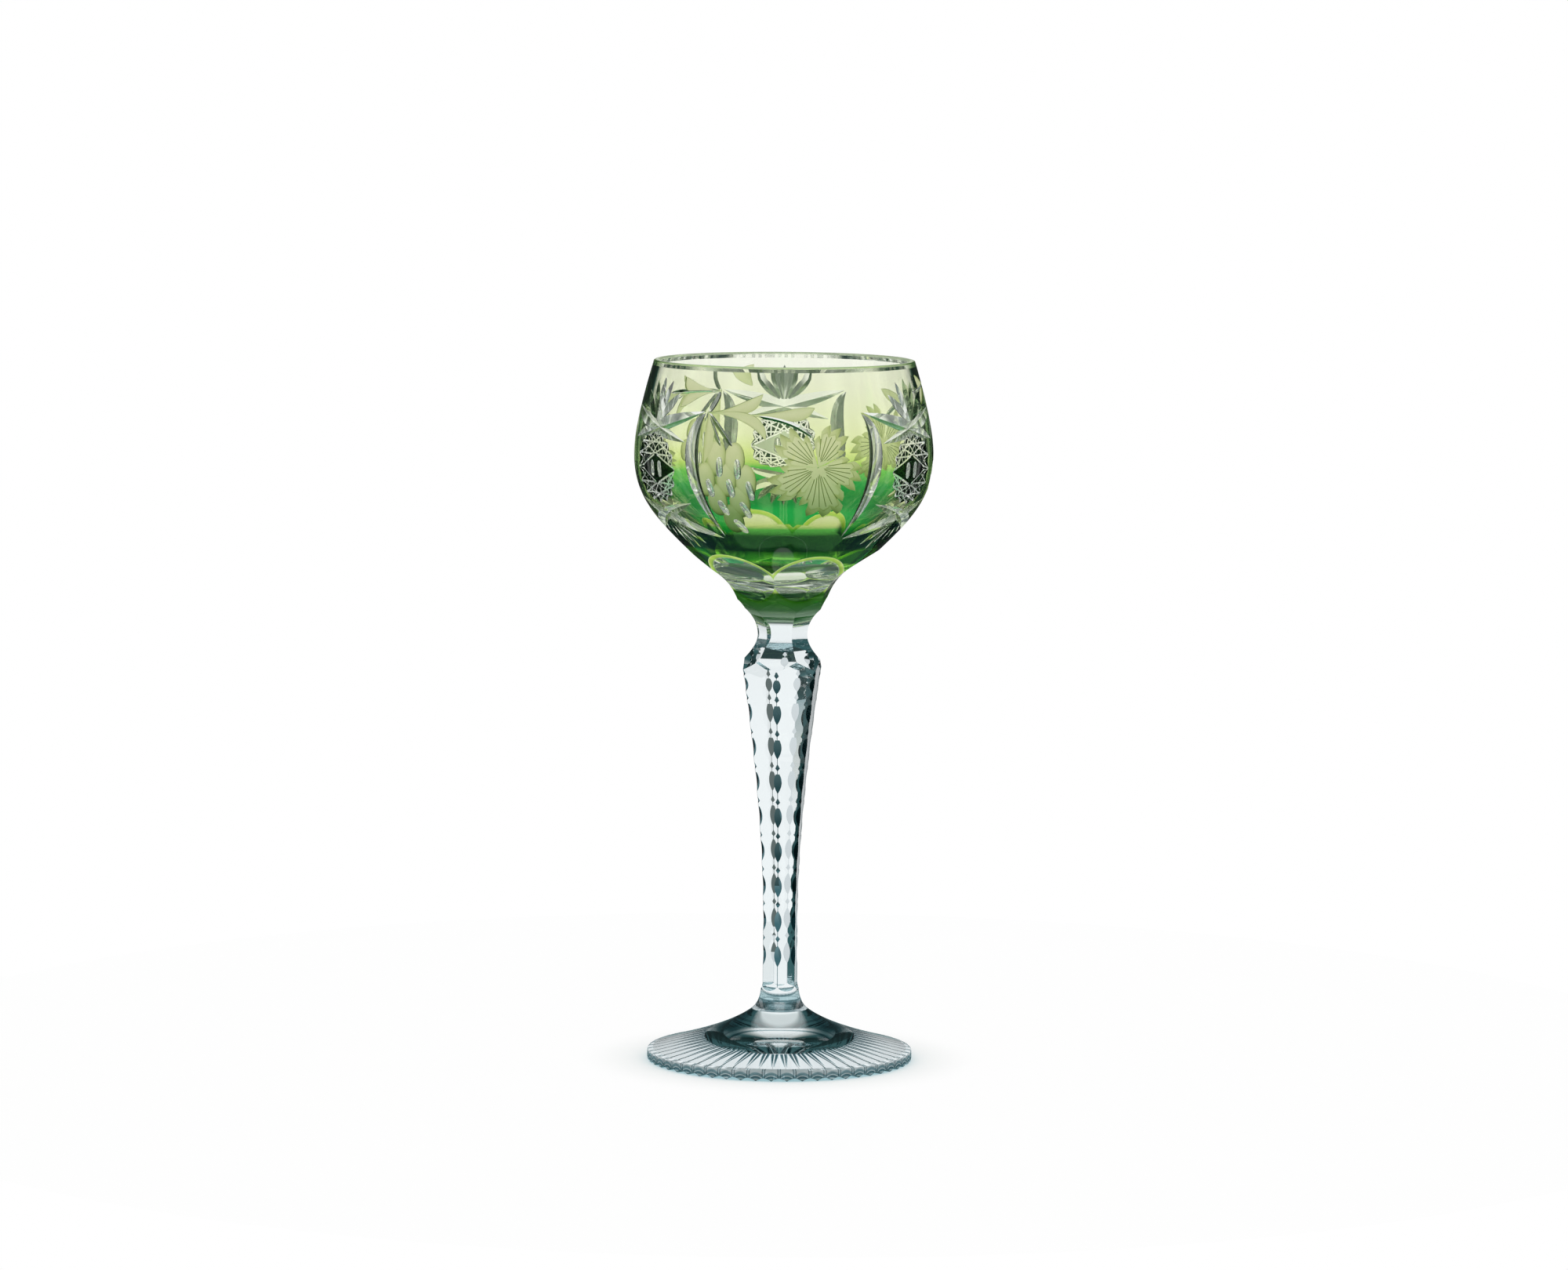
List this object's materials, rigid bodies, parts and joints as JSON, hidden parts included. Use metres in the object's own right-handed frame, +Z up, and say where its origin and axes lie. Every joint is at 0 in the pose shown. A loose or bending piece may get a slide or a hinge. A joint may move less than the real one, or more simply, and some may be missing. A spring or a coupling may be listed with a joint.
{
  "type": "hock glass",
  "caption": "Long-stemmed white wine glass: round bowl of clear crystal under a cut green skin, six-sided notched stem, foot with a star-cut underside.",
  "frame": {"origin": "middle of the plane that the foot stands on", "axes": "+Z up along the stem, -Y towards the engraved panel that faces the picture's viewer"},
  "size_m": [0.0878, 0.0871, 0.207],
  "materials": {
    "clear_crystal": "polished clear crystal with a faint blue-grey tint, wheel cut",
    "green_glass": "polished transparent green skin, pale at the rim and deep at the base, with matte engraved leaves and grapes"
  },
  "bodies": {
    "root": {"bowl_crystal": "clear_crystal", "green_casing": "green_glass", "stem": "clear_crystal", "foot": "clear_crystal"}
  },
  "joints": []
}
